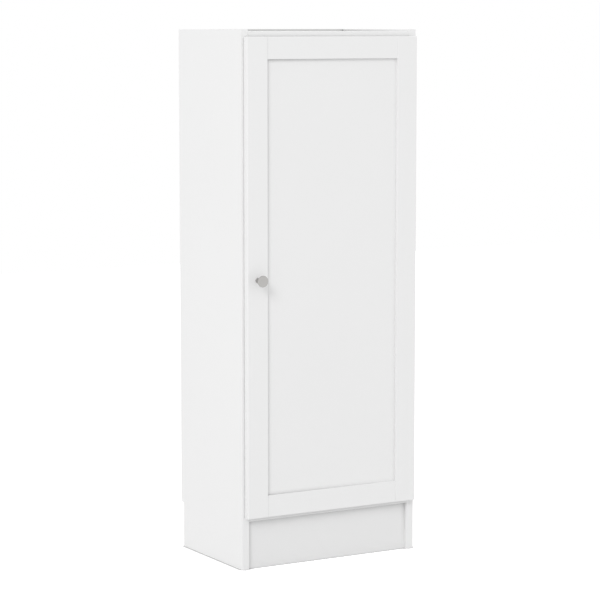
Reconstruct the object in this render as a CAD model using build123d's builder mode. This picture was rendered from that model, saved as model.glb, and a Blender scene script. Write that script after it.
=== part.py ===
from build123d import *
import math
import os

# Narrow storage cabinet with one framed door on three concealed cup hinges, in millimetres.
# X runs to the right along the front, Y to the back and Z up. The origin lies on the floor, under the
# middle of the whole cabinet from the knob's face to the back.

# Carcass
width = 460.0
height = 1220.0
side_depth = 300.0
board = 18.0
board_round = 0.8
top_drop = 4.5
plinth_height = 110.0
plinth_setback = 8.0
notch_depth = 11.5
notch_height = 106.0
back_thickness = 3.0
back_rebate = 9.0
back_gap = 0.3
shelf_setback = 4.0

# Adjustable shelves and their pins
loose_setback = 20.0
loose_side_gap = 2.0
loose_back_gap = 3.0
pin_radius = 2.5
pin_reach = 7.0
pin_sunk = 8.0
pin_collar_radius = 4.0
pin_collar = 1.5
pin_hole_depth = 9.0
pin_inset = 37.0
pin_pitch = 32.0
pin_rows = 5
loose_rise_share = 0.5

# Knock-down joints between the boards
dowel_radius = 4.0
dowel_chamfer = 0.8
dowel_in_side = 11.0
dowel_in_board = 19.0
joint_inset = 52.0
dowel_step = 32.0
plinth_dowel_step = 30.0
cam_radius = 7.5
cam_depth = 12.5
cam_reach = 24.0
bolt_stem_radius = 2.5
bolt_head_radius = 3.4
bolt_head = 3.0
bolt_thread_radius = 3.0
bolt_thread = 11.0
bolt_collar_radius = 3.6
bolt_collar = 2.0
bolt_hole_radius = 4.0
cross_width = 1.6
cross_length = 8.0
cross_depth = 3.0
back_screw_radius = 1.5
back_screw_head_radius = 3.0
back_screw_head = 1.5
back_screw_length = 15.0
back_screw_inset = 40.0
back_screws_across = 3
back_screws_up = 4

# Door
door_thickness = 15.0
door_gap = 1.5
side_reveal = 6.5
top_overlap = 6.5
bottom_overlap = 9.0
stile_width = 52.0
rail_height = 50.0
rail_setback = 1.0
panel_thickness = 5.0
panel_recess = 7.0
groove_depth = 8.0
door_round = 1.6
frame_round = 0.5
bumper_radius = 4.0
bumper_inset = 30.0
bumper_gap = 0.1
bumper_round = 0.5

# Knob
knob_length = 25.0
knob_head_radius = 13.0
knob_rim = 2.2
knob_rim_round = 0.6
knob_foot_radius = 6.0
knob_foot = 1.4
knob_neck_radius = 5.0
knob_neck_share = 0.2
knob_screw_radius = 2.0
knob_screw_grip = 12.0
knob_screw_head_radius = 4.0
knob_screw_head = 2.2

# Concealed hinge: the cup in the door
cup_radius = 17.5
cup_wall = 1.2
cup_floor = 0.8
cup_depth = 11.5
cup_edge_distance = 4.5
flange = 1.0
flange_radius = 18.8
ear_radius = 5.5
ear_offset = 6.0
ear_height = 24.0
cup_screw_radius = 1.7
cup_screw_head_radius = 3.4
cup_screw_length = 10.0
cup_screw_head = 1.6

# Concealed hinge: pivots, from the door's edge and back face, and from the side's face and front edge
outer_cup_pivot_in = 12.85
outer_cup_pivot_deep = 2.4
inner_cup_pivot_in = 15.75
inner_cup_pivot_deep = 7.9
outer_arm_pivot_in = 31.4
outer_arm_pivot_back = 12.2
inner_arm_pivot_in = 36.0
inner_arm_pivot_back = 2.9
hinge_pin_radius = 1.2
pin_head_radius = 2.0
pin_head = 0.6

# Concealed hinge: links
link_sheet = 1.7
eye_radius = 2.4
outer_link_half = 6.8
outer_fork_half = 5.2
outer_fork_share = 0.25
outer_bend_share = 0.715
outer_bend = 4.4
inner_link_half = 4.8
inner_bend_shares = (0.366, 0.589)
inner_bend_up = 1.8
inner_bend_down = 3.2
link_bend_radius = 3.0
open_eye_shift_in = 1.37
open_eye_shift_back = 0.87
open_eye_bore = 3.0
open_eye_radius = 4.0

# Concealed hinge: arm and mounting plate
arm_sheet = 1.5
arm_half = 9.0
arm_rise = 10.0
arm_lip = 3.5
arm_tail = 66.0
arm_bend_back = 38.0
arm_bend_front = 19.0
arm_front_rise = 35.0
arm_web_front = 9.5
nose_radius = 2.6
plate_base = 2.5
plate_front = 30.0
plate_back = 64.0
plate_screw_back = 37.0
plate_screw_height = 16.0
plate_wing_width = 13.0
plate_screw_radius = 2.5
plate_screw_head_radius = 4.2
plate_screw_length = 13.0
arm_screw_back = 54.0
arm_screw_radius = 2.0
arm_screw_head_radius = 3.8
arm_screw_head = 2.2
hinge_inset = 95.0
middle_hinge_rise = 90.0

# Fits
fit_gap = 0.1
running_gap = 0.05
side_play = 0.2

# Places worked out from the sizes
half_width = width / 2
inner_half = half_width - board
total_depth = side_depth + door_gap + door_thickness + knob_length
back_y = total_depth / 2
front_y = back_y - side_depth
board_back_y = back_y - back_thickness
door_back_y = front_y - door_gap
door_front_y = door_back_y - door_thickness
top_z = height - top_drop - board
bottom_z = plinth_height + board
fixed_z = (bottom_z + top_z - board) / 2
door_bottom = bottom_z - bottom_overlap
door_top = top_z + top_overlap
door_half = half_width - side_reveal
door_mid = (door_bottom + door_top) / 2
hinge_heights = (door_bottom + hinge_inset, door_mid + middle_hinge_rise, door_top - hinge_inset)
lower_loose_z = bottom_z + (fixed_z - bottom_z) * loose_rise_share - board / 2
upper_loose_z = fixed_z + board + (top_z - fixed_z - board) * loose_rise_share - board / 2
loose_heights = (lower_loose_z, upper_loose_z)
joint_rows = (front_y + joint_inset, board_back_y - joint_inset)
plinth_y = front_y + plinth_setback + board / 2


def facing(points, direction):
    """A plane at each point, whose Z looks along the direction."""
    return [Plane(origin=point, z_dir=direction) for point in points]


def copies(piece, places):
    """The piece set down at each place, as one node of separate solids."""
    with BuildPart() as group:
        with Locations(*places):
            add(piece.part)
    return group


def turned(profile):
    """A round piece from (radius, height) points, standing on the origin along Z."""
    with BuildPart() as piece:
        with BuildSketch(Plane.XZ):
            with BuildLine():
                Polyline(*profile, close=True)
            make_face()
        revolve(axis=Axis.Z)
    return piece


def save(piece, name):
    """Labels the piece and writes its STEP file."""
    piece.part.label = name
    export_step(piece.part, "parts/" + name + ".step")


# Boards of the carcass

level_joint_heights = [z + board / 2 for z in (plinth_height, fixed_z, top_z)]
plinth_joint_z = plinth_height / 2


def bolt_points(side):
    """Where the cam bolts stand in a side panel's inner face."""
    points = [(side * inner_half, y, z) for z in level_joint_heights for y in joint_rows]
    return points + [(side * inner_half, plinth_y, plinth_joint_z)]


def dowel_points(side):
    """Where the dowels enter a side panel's inner face."""
    rows = (joint_rows[0] + dowel_step, joint_rows[1] - dowel_step)
    points = [(side * inner_half, y, z) for z in level_joint_heights for y in rows]
    steps = (-plinth_dowel_step, plinth_dowel_step)
    return points + [(side * inner_half, plinth_y, plinth_joint_z + step) for step in steps]


def shelf_pin_columns(side, heights):
    """Points up the front and the back column of shelf-pin holes."""
    columns = (front_y + pin_inset, board_back_y - pin_inset)
    return [(side * inner_half, y, z) for y in columns for z in heights]


def pin_height(shelf_z):
    """Height of the pins that carry a loose shelf."""
    return shelf_z - pin_radius


def back_screw_heights():
    """Heights of the back panel's screws up each side."""
    low = notch_height + back_screw_inset
    step = (height - back_screw_inset - low) / (back_screws_up - 1)
    return [low + step * row for row in range(back_screws_up)]


def back_screw_points():
    """Every back panel screw, on the rear face: along the level boards and up the sides."""
    step = (inner_half - back_screw_inset) * 2 / (back_screws_across - 1)
    across = [back_screw_inset - inner_half + step * column for column in range(back_screws_across)]
    level = [(x, back_y, z) for z in level_joint_heights for x in across]
    edge_x = inner_half + back_rebate / 2
    return level + [(side * edge_x, back_y, z) for side in (-1, 1) for z in back_screw_heights()]


def side_panel(side):
    """A side panel: -1 is the left one, 1 the right one."""
    inward = (-side, 0, 0)
    notch_y = back_y - notch_depth
    with BuildPart() as panel:
        with BuildSketch(Plane.YZ.offset(side * inner_half)):
            with BuildLine():
                Polyline(
                    (front_y, 0), (notch_y, 0), (notch_y, notch_height), (back_y, notch_height),
                    (back_y, height), (front_y, height), close=True,
                )
            make_face()
        extrude(amount=side * board)
        front_edges = panel.edges().filter_by(Axis.Z).group_by(Axis.Y)[0]
        top_edges = panel.edges().group_by(Axis.Z)[-1].sort_by(Axis.Y)[:-1]
        fillet(front_edges + top_edges, board_round)
        with BuildSketch(Plane.XY.offset(height)):
            with Locations((side * (inner_half + back_rebate / 2), back_y - back_thickness / 2)):
                Rectangle(back_rebate, back_thickness)
        extrude(amount=notch_height - height, mode=Mode.SUBTRACT)
        with Locations(*facing(bolt_points(side), inward)):
            Hole(bolt_thread_radius, depth=bolt_thread + fit_gap)
        with Locations(*facing(dowel_points(side), inward)):
            Hole(dowel_radius + running_gap, depth=dowel_in_side + fit_gap)
        middle_row = pin_rows // 2
        for shelf_z in loose_heights:
            rows = [pin_height(shelf_z) + (row - middle_row) * pin_pitch for row in range(pin_rows)]
            with Locations(*facing(shelf_pin_columns(side, rows), inward)):
                Hole(pin_radius + running_gap, depth=pin_hole_depth)
        edge_x = side * (inner_half + back_rebate / 2)
        with Locations(*facing([(edge_x, board_back_y, z) for z in back_screw_heights()], (0, 1, 0))):
            Hole(back_screw_radius, depth=back_screw_length)
        if side > 0:
            screws = [(inner_half, front_y + plate_screw_back, z) for z in plate_screw_heights()]
            with Locations(*facing(screws, inward)):
                Hole(plate_screw_radius, depth=plate_screw_length)
    return panel


def plate_screw_heights():
    """Heights of the screws that hold the hinge plates."""
    return [z + step for z in hinge_heights for step in (-plate_screw_height, plate_screw_height)]


def level_board(base_z, setback):
    """A board between the sides, joined to them with cams and dowels."""
    depth = board_back_y - front_y - setback
    mid_z = base_z + board / 2
    with BuildPart() as shelf:
        with BuildSketch(Plane.XY.offset(base_z)):
            with Locations((0, board_back_y - depth / 2)):
                Rectangle(inner_half * 2, depth)
        extrude(amount=board)
        fillet(shelf.edges().filter_by(Axis.X).group_by(Axis.Y)[0], board_round)
        for side in (-1, 1):
            centre = side * (inner_half - cam_reach)
            with Locations(*facing([(centre, y, base_z) for y in joint_rows], (0, 0, -1))):
                Hole(cam_radius, depth=cam_depth)
            bolts = [point for point in bolt_points(side) if point[2] == mid_z]
            with Locations(*facing(bolts, (side, 0, 0))):
                Hole(bolt_hole_radius, depth=cam_reach)
            dowels = [point for point in dowel_points(side) if point[2] == mid_z]
            with Locations(*facing(dowels, (side, 0, 0))):
                Hole(dowel_radius + running_gap, depth=dowel_in_board + fit_gap)
        screws = [point for point in back_screw_points() if point[2] == mid_z and abs(point[0]) < inner_half]
        with Locations(*facing([(x, board_back_y, z) for x, y, z in screws], (0, 1, 0))):
            Hole(back_screw_radius, depth=back_screw_length)
    return shelf


def loose_shelf(base_z):
    """An adjustable shelf, which rests on four pins."""
    depth = board_back_y - loose_back_gap - front_y - loose_setback
    with BuildPart() as shelf:
        with BuildSketch(Plane.XY.offset(base_z)):
            with Locations((0, front_y + loose_setback + depth / 2)):
                Rectangle((inner_half - loose_side_gap) * 2, depth)
        extrude(amount=board)
        fillet(shelf.edges().filter_by(Axis.X).group_by(Axis.Y)[0], board_round)
    return shelf


with BuildPart() as plinth_board:
    with BuildSketch():
        with Locations((0, plinth_y)):
            Rectangle(inner_half * 2, board)
    extrude(amount=plinth_height)
    for side in (-1, 1):
        cam_centre = (side * (inner_half - cam_reach), plinth_y + board / 2, plinth_joint_z)
        with Locations(*facing([cam_centre], (0, 1, 0))):
            Hole(cam_radius, depth=cam_depth)
        with Locations(*facing([(side * inner_half, plinth_y, plinth_joint_z)], (side, 0, 0))):
            Hole(bolt_hole_radius, depth=cam_reach)
        plinth_dowels = [point for point in dowel_points(side) if point[2] < plinth_height]
        with Locations(*facing(plinth_dowels, (side, 0, 0))):
            Hole(dowel_radius + running_gap, depth=dowel_in_board + fit_gap)

with BuildPart() as back_panel:
    with BuildSketch(Plane.XY.offset(plinth_height)):
        with Locations((0, back_y - back_thickness / 2)):
            Rectangle((inner_half + back_rebate - back_gap) * 2, back_thickness)
    extrude(amount=height - plinth_height)
    with Locations(*facing(back_screw_points(), (0, 1, 0))):
        CounterSinkHole(back_screw_radius + running_gap, back_screw_head_radius, counter_sink_angle=90)

# Fastenings of the carcass

with BuildPart() as dowel:
    Cylinder(dowel_radius, dowel_in_side + dowel_in_board)
    chamfer(dowel.edges().filter_by(GeomType.CIRCLE), dowel_chamfer)

dowel_shift = (dowel_in_board - dowel_in_side) / 2
dowel_places = [
    plane.offset(dowel_shift) for side in (-1, 1) for plane in facing(dowel_points(side), (-side, 0, 0))
]
wood_dowels = copies(dowel, dowel_places)

cam_bolt = turned([
    (0, -bolt_thread), (bolt_thread_radius, -bolt_thread), (bolt_thread_radius, 0), (bolt_collar_radius, 0),
    (bolt_collar_radius, bolt_collar), (bolt_stem_radius, bolt_collar),
    (bolt_stem_radius, cam_reach - bolt_head), (bolt_head_radius, cam_reach - bolt_head),
    (bolt_head_radius, cam_reach), (0, cam_reach),
])
cam_bolts = copies(cam_bolt, [plane for side in (-1, 1) for plane in facing(bolt_points(side), (-side, 0, 0))])

with BuildPart() as cam:
    cam_height = cam_depth - fit_gap
    slot_depth = cam_height - board / 2 + bolt_head_radius + fit_gap
    with BuildSketch():
        Circle(cam_radius - fit_gap)
    extrude(amount=-cam_height)
    with BuildSketch(Plane.XY.offset(-cam_height)):
        with Locations(((cam_radius - fit_gap) / 2, 0)):
            Rectangle(cam_radius + fit_gap, (bolt_head_radius + fit_gap) * 2)
    extrude(amount=slot_depth, mode=Mode.SUBTRACT)
    with BuildSketch():
        Rectangle(cross_length, cross_width)
        Rectangle(cross_width, cross_length)
    extrude(amount=-cross_depth, mode=Mode.SUBTRACT)


def cam_places(side):
    """Each cam's place: open face outwards, slot towards the side panel."""
    centre = side * (inner_half - cam_reach)
    toward = (side, 0, 0)
    under = [(centre, y, z - board / 2) for z in level_joint_heights for y in joint_rows]
    places = [Plane(origin=point, x_dir=toward, z_dir=(0, 0, -1)) for point in under]
    behind = (centre, plinth_y + board / 2, plinth_joint_z)
    return places + [Plane(origin=behind, x_dir=toward, z_dir=(0, 1, 0))]


cam_locks = copies(cam, cam_places(-1) + cam_places(1))

back_screw = turned([
    (0, 0), (back_screw_head_radius - fit_gap, 0), (back_screw_radius - running_gap, -back_screw_head),
    (back_screw_radius - running_gap, -back_screw_length), (0, -back_screw_length),
])
back_panel_screws = copies(back_screw, facing(back_screw_points(), (0, 1, 0)))

shelf_pin = turned([
    (0, -pin_sunk), (pin_radius, -pin_sunk), (pin_radius, 0), (pin_collar_radius, 0),
    (pin_collar_radius, pin_collar), (pin_radius, pin_collar), (pin_radius, pin_reach), (0, pin_reach),
])
pin_places = [
    plane for side in (-1, 1) for shelf_z in loose_heights
    for plane in facing(shelf_pin_columns(side, [pin_height(shelf_z)]), (-side, 0, 0))
]
shelf_pins = copies(shelf_pin, pin_places)

# Door: stiles over the full height, rails with stub tenons between them, and a panel in their grooves

stile_mid = door_half - stile_width / 2
rail_half = door_half - stile_width
groove_y = door_front_y + panel_recess + panel_thickness / 2
panel_bottom = door_bottom + rail_height
panel_top = door_top - rail_height
cup_x = door_half - cup_edge_distance - cup_radius
cup_points = [(cup_x, door_back_y, z) for z in hinge_heights]


def cup_screw_points():
    """The screws through the ears of the cups, in the door's back face."""
    return [
        (cup_x - ear_offset, door_back_y, z + step) for z in hinge_heights for step in (-ear_height, ear_height)
    ]


def stile(side):
    """A stile of the door, grooved along its inner edge."""
    with BuildPart() as post:
        with BuildSketch(Plane.XY.offset(door_bottom)):
            with Locations((side * stile_mid, door_back_y - door_thickness / 2)):
                Rectangle(stile_width, door_thickness)
        extrude(amount=door_top - door_bottom)
        front = post.faces().sort_by(Axis.Y)[0]
        inner_edge = front.edges().sort_by(Axis.X)[0 if side > 0 else -1]
        outer_edges = [edge for edge in front.edges() if edge.center() != inner_edge.center()]
        fillet(outer_edges, door_round)
        face_edges = post.faces().sort_by(Axis.Y)[0].edges()
        fillet(face_edges.sort_by(Axis.X)[0 if side > 0 else -1], frame_round)
        with BuildSketch(Plane.XY.offset(door_bottom)):
            with Locations((side * (rail_half + groove_depth / 2), groove_y)):
                Rectangle(groove_depth, panel_thickness + fit_gap * 2)
        extrude(amount=door_top - door_bottom, mode=Mode.SUBTRACT)
        if side > 0:
            with Locations(*facing(cup_points, (0, 1, 0))):
                Hole(cup_radius + running_gap, depth=cup_depth + running_gap)
            with Locations(*facing(cup_screw_points(), (0, 1, 0))):
                Hole(cup_screw_radius, depth=cup_screw_length)
        else:
            with Locations(*facing([(-stile_mid, door_back_y, door_mid)], (0, 1, 0))):
                Hole(knob_screw_radius + fit_gap)
    return post


def rail(base_z, groove_side):
    """A rail with a tenon at each end and a groove along the edge that faces the panel."""
    with BuildPart() as bar:
        thickness = door_thickness - rail_setback
        with BuildSketch(Plane.XY.offset(base_z)):
            with Locations((0, door_back_y - thickness / 2)):
                Rectangle(rail_half * 2 - running_gap * 2, thickness)
        extrude(amount=rail_height)
        front_edges = bar.faces().sort_by(Axis.Y)[0].edges().filter_by(Axis.X).sort_by(Axis.Z)
        outer_edge = front_edges[-1] if groove_side < 0 else front_edges[0]
        inner_edge = front_edges[0] if groove_side < 0 else front_edges[-1]
        fillet(outer_edge, door_round)
        fillet(inner_edge, frame_round)
        tenon_base = base_z + (groove_depth if groove_side < 0 else 0)
        with BuildSketch(Plane.XY.offset(tenon_base)):
            with Locations((0, groove_y)):
                Rectangle((rail_half + groove_depth - fit_gap) * 2, panel_thickness)
        extrude(amount=rail_height - groove_depth)
        groove_base = base_z if groove_side < 0 else base_z + rail_height - groove_depth
        with BuildSketch(Plane.XY.offset(groove_base)):
            with Locations((0, groove_y)):
                Rectangle(rail_half * 2, panel_thickness + fit_gap * 2)
        extrude(amount=groove_depth, mode=Mode.SUBTRACT)
    return bar


with BuildPart() as door_panel:
    panel_tongue = groove_depth - fit_gap
    with BuildSketch(Plane.XY.offset(panel_bottom - panel_tongue)):
        with Locations((0, groove_y)):
            Rectangle((rail_half + panel_tongue) * 2, panel_thickness)
    extrude(amount=panel_top - panel_bottom + panel_tongue * 2)

with BuildPart() as bumper:
    with BuildSketch():
        Circle(bumper_radius)
    extrude(amount=door_gap - bumper_gap)
    fillet(bumper.edges().sort_by(Axis.Z)[-1], bumper_round)

bumper_x = (inner_half + door_half) / -2
bumper_points = [(bumper_x, door_back_y, z) for z in (door_bottom + bumper_inset, door_top - bumper_inset)]
door_bumpers = copies(bumper, facing(bumper_points, (0, 1, 0)))

knob_place = Plane(origin=(-stile_mid, door_front_y, door_mid), x_dir=(1, 0, 0), z_dir=(0, -1, 0))
with BuildPart() as knob_blank:
    neck_height = knob_length * knob_neck_share
    rim_base = knob_length - knob_rim
    with BuildSketch(Plane.XZ):
        with BuildLine():
            Polyline(
                (0, knob_length), (0, 0), (knob_foot_radius, 0), (knob_foot_radius, knob_foot),
                (knob_neck_radius, neck_height),
            )
            TangentArc((knob_neck_radius, neck_height), (knob_head_radius, rim_base), tangent=(0, 1))
            Polyline((knob_head_radius, rim_base), (knob_head_radius, knob_length), (0, knob_length))
        make_face()
    revolve(axis=Axis.Z)
    level_circles = knob_blank.edges().filter_by(GeomType.CIRCLE).filter_by(Plane.XY)
    fillet(level_circles.sort_by(Axis.Z)[-1], knob_rim_round)
    with Locations(Plane(origin=(0, 0, 0), z_dir=(0, 0, -1))):
        Hole(knob_screw_radius + running_gap, depth=knob_screw_grip)
knob = copies(knob_blank, [knob_place])

knob_screw_length = door_thickness + knob_screw_grip - fit_gap
knob_screw_blank = turned([
    (0, -knob_screw_length), (knob_screw_radius, -knob_screw_length), (knob_screw_radius, 0),
    (knob_screw_head_radius, 0), (knob_screw_head_radius, knob_screw_head), (0, knob_screw_head),
])
knob_screw = copies(knob_screw_blank, facing([(-stile_mid, door_back_y, door_mid)], (0, 1, 0)))

# Concealed hinge, drawn in plan at height zero and then set at each hinge height

outer_cup_pivot = Vector(door_half - outer_cup_pivot_in, door_back_y - outer_cup_pivot_deep)
inner_cup_pivot = Vector(door_half - inner_cup_pivot_in, door_back_y - inner_cup_pivot_deep)
outer_arm_pivot = Vector(inner_half - outer_arm_pivot_in, front_y + outer_arm_pivot_back)
inner_arm_pivot = Vector(inner_half - inner_arm_pivot_in, front_y + inner_arm_pivot_back)
open_eye = inner_arm_pivot + Vector(-open_eye_shift_in, open_eye_shift_back)
cup_pivots = (outer_cup_pivot, inner_cup_pivot)
arm_pivots = (outer_arm_pivot, inner_arm_pivot)
hinge_places = [(0, 0, z) for z in hinge_heights]
pin_bore = hinge_pin_radius + running_gap


def beside(start, end, share, sideways):
    """The point at a share of the way from start to end, moved sideways to the left."""
    along = end - start
    return start + along * share + Vector(-along.Y, along.X).normalized() * sideways


with BuildPart() as outer_link:
    outer_link_length = (outer_cup_pivot - outer_arm_pivot).length
    outer_turn = beside(outer_arm_pivot, outer_cup_pivot, outer_bend_share, -outer_bend)
    with BuildSketch():
        with BuildLine():
            FilletPolyline(outer_arm_pivot, outer_turn, outer_cup_pivot, radius=link_bend_radius)
        trace(line_width=link_sheet)
        with Locations(outer_arm_pivot, outer_cup_pivot):
            Circle(eye_radius)
    extrude(amount=outer_link_half, both=True)
    with BuildSketch():
        with Locations(outer_cup_pivot):
            Circle(outer_link_length * (1 - outer_fork_share))
    extrude(amount=outer_fork_half, both=True, mode=Mode.SUBTRACT)
    with BuildSketch():
        with Locations(outer_arm_pivot, outer_cup_pivot):
            Circle(pin_bore)
    extrude(amount=outer_link_half, both=True, mode=Mode.SUBTRACT)
outer_links = copies(outer_link, hinge_places)

with BuildPart() as inner_link:
    first_turn = beside(open_eye, inner_cup_pivot, inner_bend_shares[0], inner_bend_up)
    second_turn = beside(open_eye, inner_cup_pivot, inner_bend_shares[1], -inner_bend_down)
    with BuildSketch():
        with BuildLine():
            FilletPolyline(open_eye, first_turn, second_turn, inner_cup_pivot, radius=link_bend_radius)
        trace(line_width=link_sheet)
        with Locations(open_eye):
            Circle(open_eye_radius)
            Circle(open_eye_bore, mode=Mode.SUBTRACT)
        with Locations(inner_cup_pivot):
            Circle(eye_radius)
            Circle(pin_bore, mode=Mode.SUBTRACT)
    extrude(amount=inner_link_half, both=True)
inner_links = copies(inner_link, hinge_places)

with BuildPart() as arm:
    web_x = inner_half - arm_rise - arm_sheet / 2
    web_front_x = inner_half - arm_front_rise - arm_sheet / 2
    lip_x = inner_half - arm_lip
    tail_y = front_y + arm_tail
    web_points = (
        (web_x, tail_y), (web_x, front_y + arm_bend_back), (web_front_x, front_y + arm_bend_front),
        (web_front_x, front_y + arm_web_front),
    )
    cheek_corner = (outer_arm_pivot.X + nose_radius, outer_arm_pivot.Y)
    lip_front = (lip_x, front_y + arm_bend_back - (arm_rise - arm_lip))
    with BuildSketch(mode=Mode.PRIVATE) as web_sketch:
        with BuildLine():
            FilletPolyline(*web_points, radius=arm_sheet * 2)
        trace(line_width=arm_sheet)
    with BuildSketch(mode=Mode.PRIVATE) as cheek_sketch:
        with BuildLine():
            FilletPolyline(*web_points, radius=arm_sheet * 2)
            Polyline(web_points[-1], cheek_corner, lip_front, (lip_x, tail_y), web_points[0])
        make_face()
        add(web_sketch.sketch)
        with BuildSketch():
            with Locations(*arm_pivots):
                Circle(nose_radius)
            make_hull()
    extrude(cheek_sketch.sketch, amount=arm_half, both=True)
    extrude(cheek_sketch.sketch, amount=arm_half - arm_sheet, both=True, mode=Mode.SUBTRACT)
    extrude(web_sketch.sketch, amount=arm_half, both=True)
    with BuildSketch():
        with Locations(*arm_pivots):
            Circle(pin_bore)
    extrude(amount=arm_half, both=True, mode=Mode.SUBTRACT)
    web_face = (inner_half - arm_rise - arm_sheet, front_y + arm_screw_back, 0)
    with Locations(Plane(origin=web_face, z_dir=(-1, 0, 0))):
        Hole(arm_screw_radius + fit_gap, depth=arm_sheet)
hinge_arms = copies(arm, hinge_places)

with BuildPart() as arm_pin_set:
    with Locations(*arm_pivots):
        Cylinder(hinge_pin_radius, arm_half * 2)
    head_height = arm_half + pin_head / 2
    with Locations(*[(pivot.X, pivot.Y, side * head_height) for pivot in arm_pivots for side in (-1, 1)]):
        Cylinder(pin_head_radius, pin_head)
arm_pins = copies(arm_pin_set, hinge_places)

with BuildPart() as plate:
    side_face = Plane(origin=(inner_half, 0, 0), x_dir=(0, 1, 0), z_dir=(-1, 0, 0))
    rib_half = arm_half - arm_sheet - side_play
    rib_length = plate_back - plate_front
    rib_mid = (front_y + plate_front + rib_length / 2, 0)
    with BuildSketch(side_face):
        with Locations(rib_mid):
            Rectangle(rib_length, rib_half * 2)
        with Locations((front_y + plate_screw_back, 0)):
            SlotOverall(plate_screw_height * 2 + plate_wing_width, plate_wing_width, rotation=90)
    extrude(amount=plate_base)
    with BuildSketch(side_face.offset(plate_base)):
        with Locations(rib_mid):
            Rectangle(rib_length, rib_half * 2)
    extrude(amount=arm_rise - plate_base)
    wing_x = inner_half - plate_base
    wing_y = front_y + plate_screw_back
    wing_points = [(wing_x, wing_y, z) for z in (-plate_screw_height, plate_screw_height)]
    with Locations(*facing(wing_points, (-1, 0, 0))):
        CounterSinkHole(plate_screw_radius + running_gap, plate_screw_head_radius, counter_sink_angle=90)
    with Locations(Plane(origin=(inner_half - arm_rise, front_y + arm_screw_back, 0), z_dir=(-1, 0, 0))):
        Hole(arm_screw_radius + running_gap, depth=arm_rise - plate_base)
hinge_plates = copies(plate, hinge_places)

plate_screw_tip = -(plate_base + plate_screw_length - fit_gap)
plate_screw = turned([
    (0, 0), (plate_screw_head_radius - fit_gap, 0),
    (plate_screw_radius - running_gap, plate_screw_radius - plate_screw_head_radius),
    (plate_screw_radius - running_gap, plate_screw_tip), (0, plate_screw_tip),
])
plate_screws = copies(plate_screw, facing([(wing_x, wing_y, z) for z in plate_screw_heights()], (-1, 0, 0)))

arm_screw_tip = -(arm_sheet + arm_rise - plate_base - fit_gap)
arm_screw = turned([
    (0, arm_screw_tip), (arm_screw_radius, arm_screw_tip), (arm_screw_radius, 0), (arm_screw_head_radius, 0),
    (arm_screw_head_radius, arm_screw_head), (0, arm_screw_head),
])
arm_screw_points = [(web_face[0], web_face[1], z) for z in hinge_heights]
arm_screws = copies(arm_screw, facing(arm_screw_points, (-1, 0, 0)))

with BuildPart() as cup:
    cup_plane = Plane(origin=(cup_x, door_back_y, 0), x_dir=(1, 0, 0), z_dir=(0, 1, 0))
    with BuildSketch(cup_plane):
        Circle(cup_radius)
    extrude(amount=-cup_depth)
    with BuildSketch(cup_plane):
        Circle(flange_radius)
        with Locations((-ear_offset, ear_height), (-ear_offset, -ear_height)):
            Circle(ear_radius)
        make_hull()
    extrude(amount=flange)
    with BuildSketch(cup_plane.offset(flange)):
        Circle(cup_radius - cup_wall)
    extrude(amount=cup_floor - cup_depth - flange, mode=Mode.SUBTRACT)
    with BuildSketch():
        with Locations(*cup_pivots):
            Circle(pin_bore)
    extrude(amount=cup_radius, both=True, mode=Mode.SUBTRACT)
    ears = [(cup_x - ear_offset, door_back_y + flange, z) for z in (-ear_height, ear_height)]
    with Locations(*facing(ears, (0, 1, 0))):
        Hole(cup_screw_radius + fit_gap, depth=flange)
hinge_cups = copies(cup, hinge_places)


def chord_half(pivot):
    """How far a pin at the pivot reaches up and down into the cup's wall."""
    far_side = pivot.X - cup_x + hinge_pin_radius
    return math.sqrt((cup_radius - fit_gap) ** 2 - far_side ** 2)


with BuildPart() as cup_pin_set:
    stub_start = inner_link_half + side_play
    stub_end = chord_half(outer_cup_pivot)
    stub_mid = (stub_start + stub_end) / 2
    with Locations(*[(outer_cup_pivot.X, outer_cup_pivot.Y, side * stub_mid) for side in (-1, 1)]):
        Cylinder(hinge_pin_radius, stub_end - stub_start)
    with Locations(inner_cup_pivot):
        Cylinder(hinge_pin_radius, chord_half(inner_cup_pivot) * 2)
cup_pins = copies(cup_pin_set, hinge_places)

cup_screw_tip = -(flange + cup_screw_length - fit_gap)
cup_screw = turned([
    (0, cup_screw_tip), (cup_screw_radius - running_gap, cup_screw_tip), (cup_screw_radius - running_gap, 0),
    (cup_screw_head_radius, 0), (cup_screw_head_radius, cup_screw_head), (0, cup_screw_head),
])
cup_screws = copies(cup_screw, [plane.offset(flange) for plane in facing(cup_screw_points(), (0, 1, 0))])

os.makedirs("parts", exist_ok=True)
save(side_panel(-1), "left_side_panel")
save(side_panel(1), "right_side_panel")
save(level_board(top_z, 0), "top_panel")
save(level_board(plinth_height, 0), "bottom_panel")
save(level_board(fixed_z, shelf_setback), "fixed_shelf")
save(loose_shelf(upper_loose_z), "upper_shelf")
save(loose_shelf(lower_loose_z), "lower_shelf")
save(plinth_board, "plinth_board")
save(back_panel, "back_panel")
save(wood_dowels, "wood_dowels")
save(cam_bolts, "cam_bolts")
save(cam_locks, "cam_locks")
save(back_panel_screws, "back_panel_screws")
save(shelf_pins, "shelf_pins")
save(hinge_plates, "hinge_plates")
save(plate_screws, "plate_screws")
save(hinge_arms, "hinge_arms")
save(arm_screws, "arm_screws")
save(arm_pins, "arm_pins")
save(outer_links, "outer_links")
save(inner_links, "inner_links")
save(hinge_cups, "hinge_cups")
save(cup_pins, "cup_pins")
save(cup_screws, "cup_screws")
save(stile(-1), "left_stile")
save(stile(1), "right_stile")
save(rail(panel_top, -1), "top_rail")
save(rail(door_bottom, 1), "bottom_rail")
save(door_panel, "door_panel")
save(door_bumpers, "door_bumpers")
save(knob, "knob")
save(knob_screw, "knob_screw")
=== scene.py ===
import math

import bmesh
import bpy
from mathutils import Matrix, Vector


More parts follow.
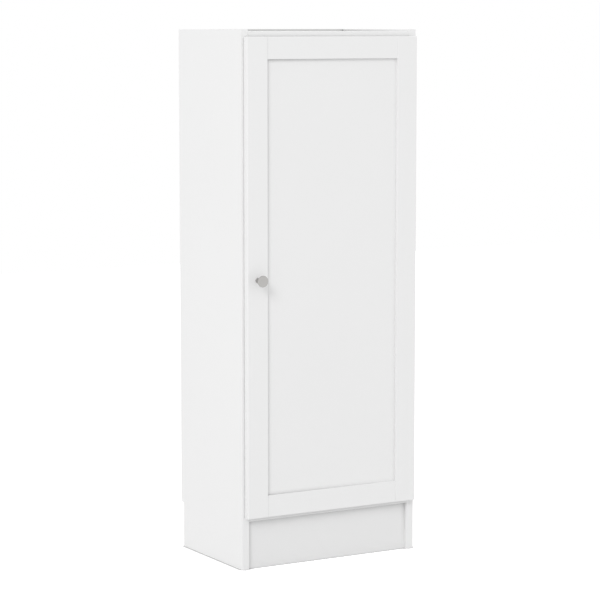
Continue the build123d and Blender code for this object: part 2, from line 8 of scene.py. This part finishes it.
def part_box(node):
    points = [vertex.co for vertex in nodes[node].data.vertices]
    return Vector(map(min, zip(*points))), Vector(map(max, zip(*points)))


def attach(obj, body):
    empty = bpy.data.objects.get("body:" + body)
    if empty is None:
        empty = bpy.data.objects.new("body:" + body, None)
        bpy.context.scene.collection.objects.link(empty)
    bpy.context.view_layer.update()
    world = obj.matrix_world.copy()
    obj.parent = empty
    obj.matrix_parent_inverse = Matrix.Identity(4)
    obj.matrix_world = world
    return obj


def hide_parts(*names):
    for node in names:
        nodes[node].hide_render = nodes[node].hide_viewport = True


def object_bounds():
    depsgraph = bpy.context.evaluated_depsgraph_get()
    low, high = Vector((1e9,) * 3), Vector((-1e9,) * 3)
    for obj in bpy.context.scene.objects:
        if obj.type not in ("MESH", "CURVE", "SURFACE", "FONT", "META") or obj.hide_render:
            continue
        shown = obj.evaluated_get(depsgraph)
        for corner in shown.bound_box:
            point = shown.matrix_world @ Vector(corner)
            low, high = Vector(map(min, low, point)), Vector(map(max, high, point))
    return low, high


# Looks for the narrow storage cabinet, in metres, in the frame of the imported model:
# X to the right along the front, Y to the back, Z up, the floor at zero.

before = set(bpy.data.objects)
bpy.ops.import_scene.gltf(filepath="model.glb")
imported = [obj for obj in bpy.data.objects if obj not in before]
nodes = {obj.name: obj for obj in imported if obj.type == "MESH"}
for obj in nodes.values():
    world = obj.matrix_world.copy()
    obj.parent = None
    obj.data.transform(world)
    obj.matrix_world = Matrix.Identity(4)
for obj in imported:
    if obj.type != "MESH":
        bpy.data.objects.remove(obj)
cad_low, cad_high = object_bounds()
mm = 0.001


# Materials

# Most of a noise lies between these two values
noise_low = 0.25
noise_high = 0.75

# A Mix node has its colours in these places among its inputs and outputs
mix_colours_in = (6, 7)
mix_colour_out = 2

painted_shade_samples = 8


def empty_material(name):
    """A material with nothing in its node tree but its output, the tree, and the input for its surface."""
    material = bpy.data.materials.new(name)
    material.use_nodes = True
    tree = material.node_tree
    tree.nodes.clear()
    output = tree.nodes.new("ShaderNodeOutputMaterial")
    return material, tree, output.inputs["Surface"]


def new_material(name):
    """A material, its node tree, and the shader that makes its surface."""
    material, tree, surface = empty_material(name)
    shader = tree.nodes.new("ShaderNodeBsdfPrincipled")
    tree.links.new(shader.outputs["BSDF"], surface)
    return material, tree, shader


def add_node(tree, kind, inputs=None, **settings):
    """A node with its settings; an input is a plain value or another node's output."""
    node = tree.nodes.new(kind)
    for key, value in settings.items():
        setattr(node, key, value)
    for key, value in (inputs or {}).items():
        if isinstance(value, bpy.types.NodeSocket):
            tree.links.new(value, node.inputs[key])
        else:
            node.inputs[key].default_value = value
    return node


def worked_out(tree, operation, first, second):
    """The result of one operation on two values."""
    return add_node(tree, "ShaderNodeMath", {0: first, 1: second}, operation=operation).outputs[0]


def mapped(tree, value, start, end, first, last):
    """A value that goes evenly from first to last as the given one goes from start to end."""
    inputs = {"Value": value, "From Min": start, "From Max": end, "To Min": first, "To Max": last}
    return add_node(tree, "ShaderNodeMapRange", inputs).outputs["Result"]


def stretched(tree, scale):
    """Object coordinates in metres, scaled along each axis."""
    where = add_node(tree, "ShaderNodeTexCoord")
    return add_node(tree, "ShaderNodeMapping", {"Vector": where.outputs["Object"], "Scale": scale}).outputs[0]


def noise(tree, scale, detail, roughness=0.5):
    """Noise whose grain follows the stretch of its coordinates."""
    inputs = {"Vector": stretched(tree, scale), "Scale": 1.0, "Detail": detail, "Roughness": roughness}
    return add_node(tree, "ShaderNodeTexNoise", inputs).outputs["Fac"]


def between(tree, grain, low, high):
    """A value that runs from low to high over the middle part of a noise, where most of it lies."""
    return mapped(tree, grain, noise_low, noise_high, low, high)


def mixed(tree, factor, first, second):
    """A colour mixed from two, each a plain colour or another node's output."""
    node = add_node(tree, "ShaderNodeMix", {"Factor": factor}, data_type="RGBA")
    for index, colour in zip(mix_colours_in, (first, second)):
        if isinstance(colour, bpy.types.NodeSocket):
            tree.links.new(colour, node.inputs[index])
        else:
            node.inputs[index].default_value = (*colour, 1.0)
    return node.outputs[mix_colour_out]


def bumped(tree, shader, height, distance):
    """Gives a shader the bump of a height, with its depth in metres."""
    bump = add_node(tree, "ShaderNodeBump", {"Height": height, "Distance": distance, "Strength": 1.0})
    tree.links.new(bump.outputs["Normal"], shader.inputs["Normal"])


def openness(tree, reach):
    """The ambient occlusion that the painted shade follows: one in the open, going down within reach of a
    narrow corner or a contact.
    """
    node = add_node(tree, "ShaderNodeAmbientOcclusion", {"Distance": reach}, samples=painted_shade_samples)
    return node.outputs["AO"]


def run_across(tree, node, axes, first, last):
    """A value that goes from first at a node's low side to last at its high side.
    Along two axes it is last only where both are high, and first where either is low."""
    low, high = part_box(node)
    where = add_node(tree, "ShaderNodeTexCoord").outputs["Object"]
    place = add_node(tree, "ShaderNodeSeparateXYZ", {"Vector": where})
    share = 1.0
    for axis in axes:
        index = "XYZ".index(axis)
        part = mapped(tree, place.outputs[axis], low[index], high[index], 0.0, 1.0)
        share = worked_out(tree, "MULTIPLY", share, part)
    return mapped(tree, share, 0.0, 1.0, first, last)


def with_painted_corner_shade(tree, colour, reach, deepest):
    """A colour that goes down to its deepest share within reach of a narrow corner: painted contact shade."""
    level = mapped(tree, openness(tree, reach), 0.0, 1.0, deepest, 1.0)
    return add_node(tree, "ShaderNodeVectorMath", {0: colour, "Scale": level}, operation="SCALE").outputs[0]


cloud_scale = (3.0, 3.0, 3.0)
cloudiness = 0.01
paint_whiteness = 0.825
paint_specular = 0.4
paint_rough_spread = 0.05
metal_rough_spread = 0.06


def painted(name, rough, grain, depth, painted_shade_share=1.0, corner_reach=0.0, whiteness=paint_whiteness):
    """White foil or lacquer: a clean colour with faint clouds, and a fine grain in its gloss and surface.
    Its corners get painted shade: the share of its colour that a corner keeps, or a tuple for run_across."""
    material, tree, shader = new_material(name)
    clouds = noise(tree, cloud_scale, detail=3.0)
    tone = mixed(tree, between(tree, clouds, 0.0, 1.0), (whiteness - cloudiness,) * 3, (whiteness,) * 3)
    # Painted shade: the colour darkens within reach of corners, down to the corner shade's share
    if isinstance(painted_shade_share, tuple):
        painted_shade_share = run_across(tree, *painted_shade_share)
    if corner_reach > 0:
        tone = with_painted_corner_shade(tree, tone, corner_reach, painted_shade_share)
    tree.links.new(tone, shader.inputs["Base Color"])
    fine = noise(tree, grain, detail=3.0, roughness=0.6)
    gloss = between(tree, fine, rough - paint_rough_spread, rough + paint_rough_spread)
    tree.links.new(gloss, shader.inputs["Roughness"])
    shader.inputs["Specular IOR Level"].default_value = paint_specular
    bumped(tree, shader, fine, depth)
    return material


def metal(name, colour, shade, rough, grain, depth):
    """Plated or cast metal with fine variation in tone and gloss; shade is its darkest tone's share."""
    material, tree, shader = new_material(name)
    fine = noise(tree, grain, detail=5.0, roughness=0.6)
    dark = tuple(channel * shade for channel in colour)
    tree.links.new(mixed(tree, between(tree, fine, 0.0, 1.0), dark, colour), shader.inputs["Base Color"])
    gloss = between(tree, fine, rough - metal_rough_spread, rough + metal_rough_spread)
    tree.links.new(gloss, shader.inputs["Roughness"])
    shader.inputs["Metallic"].default_value = 1.0
    bumped(tree, shader, fine, depth)
    return material


def fibreboard(name):
    """The back panel: white on its front face, bare brown fibreboard on its rear face and edges, with painted
    shade in its corners.
    """
    fibre_grain = (420.0, 420.0, 420.0)
    fleck_grain = (1600.0, 1600.0, 700.0)
    dark_brown = (0.30, 0.19, 0.11)
    light_brown = (0.40, 0.27, 0.16)
    fleck_brown = (0.22, 0.13, 0.075)
    fleck_strength = 0.4
    # The white face, made greyer than the boards' white as painted shade for the strip of it that shows above
    # the top panel
    faced_white_darkened_for_shade = (0.75, 0.75, 0.745)
    faces_front_below = -0.5
    painted_shade_share = 0.45
    least_rough = 0.55
    most_rough = 0.72
    depth = 0.04 * mm
    material, tree, shader = new_material(name)
    fibres = noise(tree, fibre_grain, detail=6.0, roughness=0.7)
    flecks = noise(tree, fleck_grain, detail=4.0, roughness=0.7)
    brown = mixed(tree, between(tree, fibres, 0.0, 1.0), dark_brown, light_brown)
    brown = mixed(tree, between(tree, flecks, 0.0, fleck_strength), brown, fleck_brown)
    normal = add_node(tree, "ShaderNodeTexCoord").outputs["Normal"]
    backward = add_node(tree, "ShaderNodeSeparateXYZ", {"Vector": normal}).outputs["Y"]
    front = worked_out(tree, "LESS_THAN", backward, faces_front_below)
    tone = mixed(tree, front, brown, faced_white_darkened_for_shade)
    # Painted shade: the colour darkens within reach of corners
    tone = with_painted_corner_shade(tree, tone, board_corner_reach, painted_shade_share)
    tree.links.new(tone, shader.inputs["Base Color"])
    tree.links.new(between(tree, fibres, least_rough, most_rough), shader.inputs["Roughness"])
    bumped(tree, shader, fibres, depth)
    return material


def beech(name):
    """Bare turned beech, its grain along X as the dowels lie."""
    year_grain = (60.0, 900.0, 900.0)
    fleck_grain = (300.0, 2600.0, 2600.0)
    dark_beech = (0.56, 0.38, 0.21)
    light_beech = (0.72, 0.53, 0.33)
    fleck_beech = (0.45, 0.27, 0.14)
    fleck_strength = 0.5
    least_rough = 0.5
    most_rough = 0.65
    depth = 0.03 * mm
    material, tree, shader = new_material(name)
    rings = noise(tree, year_grain, detail=5.0, roughness=0.6)
    flecks = noise(tree, fleck_grain, detail=3.0)
    wood = mixed(tree, between(tree, rings, 0.0, 1.0), dark_beech, light_beech)
    wood = mixed(tree, between(tree, flecks, 0.0, fleck_strength), wood, fleck_beech)
    tree.links.new(wood, shader.inputs["Base Color"])
    tree.links.new(between(tree, rings, least_rough, most_rough), shader.inputs["Roughness"])
    bumped(tree, shader, rings, depth)
    return material


def soft_plastic(name):
    """A clear soft bumper."""
    fine_grain = (900.0, 900.0, 900.0)
    dull_clear = (0.78, 0.78, 0.76)
    bright_clear = (0.85, 0.85, 0.83)
    least_rough = 0.25
    most_rough = 0.35
    clearness = 0.35
    milkiness = 0.2
    material, tree, shader = new_material(name)
    fine = noise(tree, fine_grain, detail=2.0)
    tree.links.new(mixed(tree, fine, dull_clear, bright_clear), shader.inputs["Base Color"])
    tree.links.new(between(tree, fine, least_rough, most_rough), shader.inputs["Roughness"])
    shader.inputs["Transmission Weight"].default_value = clearness
    shader.inputs["Subsurface Weight"].default_value = milkiness
    return material


foil_rough = 0.45
foil_grain = (900.0, 900.0, 900.0)
foil_depth = 0.012 * mm
lacquer_rough = 0.4
upright_grain = (1400.0, 1400.0, 160.0)
level_grain = (160.0, 1400.0, 1400.0)
lacquer_depth = 0.015 * mm
# The plinth board's white is darker than the other boards': painted shade, for the shade it lies in under the
# door
plinth_painted_shade_whiteness = 0.8
board_corner_reach = 12 * mm
plinth_corner_reach = 13 * mm
rail_corner_reach = 3 * mm
panel_corner_reach = 9 * mm

# Painted corner shade: the share of its colour that a corner keeps, one value or a run across a node along
# the named axes
board_painted_shade = 0.8
side_painted_shade = ("left_side_panel", "YZ", 1.0, 0.15)
plinth_painted_shade = ("plinth_board", "Z", 1.0, 0.5)
rail_painted_shade = ("top_rail", "X", 0.4, 1.0)
panel_painted_shade = ("door_panel", "X", 0.5, 0.9)

# The sides', plinth's, rails' and door panel's finishes are copies of the plain foil and lacquer that differ
# in their painted corner shade, the rails' also in grain
foil = painted("white_foil", foil_rough, foil_grain, foil_depth, board_painted_shade, board_corner_reach)
side_foil = painted("white_foil_side", foil_rough, foil_grain, foil_depth, side_painted_shade, board_corner_reach)
plinth_foil = painted("white_foil_plinth", foil_rough, foil_grain, foil_depth, plinth_painted_shade,
                      plinth_corner_reach, plinth_painted_shade_whiteness)
lacquer_up = painted("white_lacquer_up", lacquer_rough, upright_grain, lacquer_depth)
lacquer_across = painted("white_lacquer_across", lacquer_rough, level_grain, lacquer_depth, rail_painted_shade,
                         rail_corner_reach)
lacquer_panel = painted("white_lacquer_panel", lacquer_rough, upright_grain, lacquer_depth, panel_painted_shade,
                        panel_corner_reach)
nickel = metal("nickel_steel", colour=(0.68, 0.67, 0.65), shade=0.96, rough=0.22,
               grain=(700.0, 700.0, 1500.0), depth=0.0012 * mm)
zinc = metal("zinc_steel", colour=(0.60, 0.62, 0.65), shade=0.95, rough=0.3,
             grain=(1500.0, 1500.0, 1500.0), depth=0.004 * mm)
cast_zinc = metal("die_cast_zinc", colour=(0.50, 0.51, 0.53), shade=0.85, rough=0.45,
                  grain=(1100.0, 1100.0, 1100.0), depth=0.02 * mm)
satin_nickel = metal("satin_nickel", colour=(0.45, 0.443, 0.432), shade=0.92, rough=0.36,
                     grain=(2600.0, 900.0, 2600.0), depth=0.004 * mm)

finishes = {
    foil: ("top_panel", "bottom_panel", "fixed_shelf", "upper_shelf", "lower_shelf"),
    side_foil: ("left_side_panel", "right_side_panel"),
    plinth_foil: ("plinth_board",),
    fibreboard("white_board"): ("back_panel",),
    beech("beech"): ("wood_dowels",),
    zinc: ("cam_bolts", "arm_pins", "cup_pins", "back_panel_screws", "plate_screws", "arm_screws",
           "cup_screws", "knob_screw"),
    cast_zinc: ("cam_locks",),
    nickel: ("shelf_pins", "hinge_plates", "hinge_arms", "outer_links", "inner_links", "hinge_cups"),
    lacquer_up: ("left_stile", "right_stile"),
    lacquer_panel: ("door_panel",),
    lacquer_across: ("top_rail", "bottom_rail"),
    soft_plastic("soft_bumper"): ("door_bumpers",),
    satin_nickel: ("knob",),
}
for material, names in finishes.items():
    for name in names:
        for slot in nodes[name].material_slots:
            slot.material = material


# Screws with cross recesses, in the places of the plain ones

weld = 0.002 * mm
place_digits = 5
round_steps = 40
dome_steps = 8
turn_step = math.radians(67)
smooth_up_to = math.radians(32)

# Shares of the head's radius: a flat head's broken edge, and the length, width and depth of the cross recess
edge_break = 0.03
cross_long = 1.2
cross_wide = 0.26
cross_deep = 0.5

# What cuts the recess stands above the head by a share of its depth, and keeps a share of its length below
cross_above = 0.2
cross_base = 0.3

# A domed head: the dome's share of the head's height, and the power that makes its shoulders full
dome_share = 0.75
dome_power = 0.8


def solids(name):
    """The lowest and highest corners of each separate solid of a node, in order of place."""
    mesh = bmesh.new()
    mesh.from_mesh(nodes[name].data)
    bmesh.ops.remove_doubles(mesh, verts=mesh.verts, dist=weld)
    waiting = set(mesh.verts)
    corners = []
    while waiting:
        growing = [waiting.pop()]
        points = []
        while growing:
            vertex = growing.pop()
            points.append(vertex.co.copy())
            for edge in vertex.link_edges:
                other = edge.other_vert(vertex)
                if other in waiting:
                    waiting.remove(other)
                    growing.append(other)
        low = Vector([min(point[axis] for point in points) for axis in range(3)])
        high = Vector([max(point[axis] for point in points) for axis in range(3)])
        corners.append((low, high))
    mesh.free()
    return sorted(corners, key=lambda pair: tuple(round(value, place_digits) for value in pair[0]))


def turned(mesh, profile):
    """Adds the round surface of (radius, height) points about Z; the first and last lie on the axis."""
    rings = []
    for radius, height in profile:
        if radius == 0:
            rings.append([mesh.verts.new((0, 0, height))] * round_steps)
        else:
            turns = [math.tau * step / round_steps for step in range(round_steps)]
            circle = [(radius * math.cos(turn), radius * math.sin(turn), height) for turn in turns]
            rings.append([mesh.verts.new(point) for point in circle])
    for upper, lower in zip(rings, rings[1:]):
        for step in range(round_steps):
            after = (step + 1) % round_steps
            corners = [upper[step], lower[step], lower[after], upper[after]]
            # Two of the four are one vertex where a ring lies on the axis
            mesh.faces.new(list(dict.fromkeys(corners)))


def tapered_bar(mesh, long, wide, deep):
    """Adds a bar across the axis that starts just above zero and narrows to its base."""
    rings = []
    for share, height in ((1.0, deep * cross_above), (cross_base, -deep)):
        x = long * share / 2
        y = wide * (1 + share) / 4
        outline = [(-x, -y), (x, -y), (x, y), (-x, y)]
        rings.append([mesh.verts.new((*corner, height)) for corner in outline])
    top, base = rings
    mesh.faces.new(top)
    mesh.faces.new(base[::-1])
    for side in range(4):
        after = (side + 1) % 4
        mesh.faces.new([top[side], base[side], base[after], top[after]])


def as_object(name, mesh):
    """An object from a bmesh, in the scene."""
    data = bpy.data.meshes.new(name)
    bmesh.ops.recalc_face_normals(mesh, faces=mesh.faces)
    mesh.to_mesh(data)
    mesh.free()
    thing = bpy.data.objects.new(name, data)
    bpy.context.scene.collection.objects.link(thing)
    return thing


def screw_mesh(head, length, shank_share, head_share):
    """A screw whose head's top lies at zero: flat on a cone, or domed where it has a height share.
    Both shares are of the head's radius, and the cone and the point slope at 45 degrees."""
    shank = head * shank_share
    if head_share == 0:
        top = [(0, 0), (head * (1 - edge_break), 0), (head, -head * edge_break), (shank, shank - head)]
    else:
        height = head * head_share
        angles = [math.radians(90 * step / dome_steps) for step in range(dome_steps + 1)]
        dome = [(head * math.sin(angle) ** dome_power, height * dome_share * (math.cos(angle) - 1))
                for angle in angles]
        top = dome + [(head, -height), (shank, -height)]
    blank = bmesh.new()
    turned(blank, top + [(shank, shank - length), (0, -length)])
    blank_object = as_object("screw_blank", blank)
    cross = bmesh.new()
    bar = (head * cross_long, head * cross_wide, head * cross_deep)
    quarter_turn = Matrix.Rotation(math.radians(90), 3, "Z")
    tapered_bar(cross, *bar)
    bmesh.ops.rotate(cross, verts=cross.verts, cent=(0, 0, 0), matrix=quarter_turn)
    tapered_bar(cross, *bar)
    cross_object = as_object("screw_cross", cross)
    cut = blank_object.modifiers.new("cut", "BOOLEAN")
    cut.operation = "DIFFERENCE"
    cut.solver = "EXACT"
    cut.use_self = True
    cut.object = cross_object
    bpy.context.view_layer.update()
    data = bpy.data.meshes.new_from_object(blank_object.evaluated_get(bpy.context.evaluated_depsgraph_get()))
    for thing in (blank_object, cross_object):
        bpy.data.objects.remove(thing)
    return data


def fit_screws(name, body, outward, shank_share, head_share=0.0):
    """Puts a detailed screw at each of a node's plain ones, each turned further than the last.
    Their heads look outward."""
    outward = Vector(outward)
    across = Vector((1, 1, 1)) - Vector([abs(value) for value in outward])
    places = solids(name)
    low, high = places[0]
    size = high - low
    head = max(size * across) / 2
    length = abs(size.dot(outward))
    single = screw_mesh(head, length, shank_share, head_share)
    facing = outward.to_track_quat("Z", "Y").to_matrix().to_4x4()
    whole = bmesh.new()
    for count, (low, high) in enumerate(places):
        top = (low + high) / 2 + outward * length / 2
        turn = Matrix.Rotation(count * turn_step, 4, "Z")
        placed = single.copy()
        placed.transform(Matrix.Translation(top) @ facing @ turn)
        whole.from_mesh(placed)
        bpy.data.meshes.remove(placed)
    piece = as_object(name + "_detailed", whole)
    piece.data.shade_smooth()
    piece.data.set_sharp_from_angle(angle=smooth_up_to)
    piece.data.materials.append(zinc)
    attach(piece, body)
    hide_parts(name)


to_back = (0, 1, 0)
to_left = (-1, 0, 0)
fit_screws("back_panel_screws", "cabinet", to_back, shank_share=0.5)
fit_screws("plate_screws", "cabinet", to_left, shank_share=0.59)
fit_screws("arm_screws", "cabinet", to_left, shank_share=0.52, head_share=0.58)
fit_screws("cup_screws", "door", to_back, shank_share=0.48, head_share=0.47)
fit_screws("knob_screw", "door", to_back, shank_share=0.5, head_share=0.55)


# Stage: a floor that looks white to the camera and keeps the contact shadow, with a painted shadow line at
# the foot of what stands on it, in a white world

plain_white = (1.0, 1.0, 1.0, 1.0)
floor_size = 12.0
floor_colour = (0.77, 0.77, 0.77, 1.0)
floor_glow = 0.55
# Painted shadow: a dark line on the floor at the foot of what stands on it
painted_foot_shadow_reach = 12 * mm
painted_foot_shadow_darkness = 0.75
painted_foot_shadow_openness = 0.5
ambient_strength = 0.88
backdrop_strength = 1.0


def looked_at(tree):
    """One where the camera, a reflection or glass looks, and zero for other light."""
    path = add_node(tree, "ShaderNodeLightPath")
    seen = path.outputs["Is Camera Ray"]
    for other in ("Is Glossy Ray", "Is Transmission Ray"):
        seen = worked_out(tree, "MAXIMUM", seen, path.outputs[other])
    return seen


def stage_material(name):
    """Matt white that adds a plain glow where the camera, a reflection or glass looks at it.
    What stands on it gets a painted shadow: a thin dark line at its foot, within reach of the contact, where
    the camera, a reflection or glass looks."""
    material, tree, surface = empty_material(name)
    seen = looked_at(tree)
    glow = worked_out(tree, "MULTIPLY", seen, floor_glow)
    light = add_node(tree, "ShaderNodeEmission", {"Color": plain_white, "Strength": glow})
    matt = add_node(tree, "ShaderNodeBsdfDiffuse", {"Color": floor_colour})
    both = add_node(tree, "ShaderNodeAddShader", {0: light.outputs[0], 1: matt.outputs[0]})
    open_share = openness(tree, painted_foot_shadow_reach)
    shade = mapped(tree, open_share, painted_foot_shadow_openness, 1.0, painted_foot_shadow_darkness, 0.0)
    dark = worked_out(tree, "MULTIPLY", seen, shade)
    # The second shader of this mix stays empty, which is black: it paints the shadow line
    with_painted_foot_shadow = add_node(tree, "ShaderNodeMixShader", {0: dark, 1: both.outputs[0]})
    tree.links.new(with_painted_foot_shadow.outputs[0], surface)
    return material


bpy.ops.mesh.primitive_plane_add(size=floor_size, location=(0, 0, 0))
floor = bpy.context.object
floor.name = "floor"
floor.data.materials.append(stage_material("floor_white"))

world = bpy.data.worlds.new("studio")
bpy.context.scene.world = world
world.use_nodes = True
sky = world.node_tree
sky.nodes.clear()
sky_output = sky.nodes.new("ShaderNodeOutputWorld")
ambient = add_node(sky, "ShaderNodeBackground", {"Color": plain_white, "Strength": ambient_strength})
backdrop = add_node(sky, "ShaderNodeBackground", {"Color": plain_white, "Strength": backdrop_strength})
shown = {0: looked_at(sky), 1: ambient.outputs[0], 2: backdrop.outputs[0]}
chosen = add_node(sky, "ShaderNodeMixShader", shown)
sky.links.new(chosen.outputs[0], sky_output.inputs["Surface"])


# Lamps: a soft key light from the left and a weak one from above

middle = (cad_low + cad_high) / 2
lamp_distance = 14.0
lamp_size = 4.7


def softbox(name, turn, rise, power):
    """A square area lamp that looks at the cabinet's middle.
    It stands so many degrees left of the cabinet's front and so many above its middle."""
    lamp = bpy.data.lights.new(name, "AREA")
    lamp.shape = "SQUARE"
    lamp.size = lamp_size
    lamp.energy = power
    thing = bpy.data.objects.new(name, lamp)
    bpy.context.scene.collection.objects.link(thing)
    left = math.radians(turn)
    up = math.radians(rise)
    toward = Vector((-math.sin(left) * math.cos(up), -math.cos(left) * math.cos(up), math.sin(up)))
    thing.location = middle + toward * lamp_distance
    thing.rotation_euler = toward.to_track_quat("Z", "Y").to_euler()


softbox("key_lamp", turn=51.5, rise=31, power=540.0)
softbox("top_lamp", turn=0, rise=90, power=97.0)


# Camera: the photograph's viewing angle

camera_place = (-2.7127, -4.6602, 1.2280)
camera_yaw = math.radians(30.171)
camera_pitch = math.radians(6.736)
camera_lens = 139.36
camera_sensor = 36.0
camera_clip_end = 50.0
camera_data = bpy.data.cameras.new("camera")
camera = bpy.data.objects.new("camera", camera_data)
bpy.context.scene.collection.objects.link(camera)
bpy.context.scene.camera = camera
camera_data.sensor_width = camera_sensor
camera_data.lens = camera_lens
camera_data.clip_end = camera_clip_end
camera.location = camera_place
camera.rotation_euler = (math.pi / 2 - camera_pitch, 0.0, -camera_yaw)

bpy.context.scene.view_settings.view_transform = "Standard"
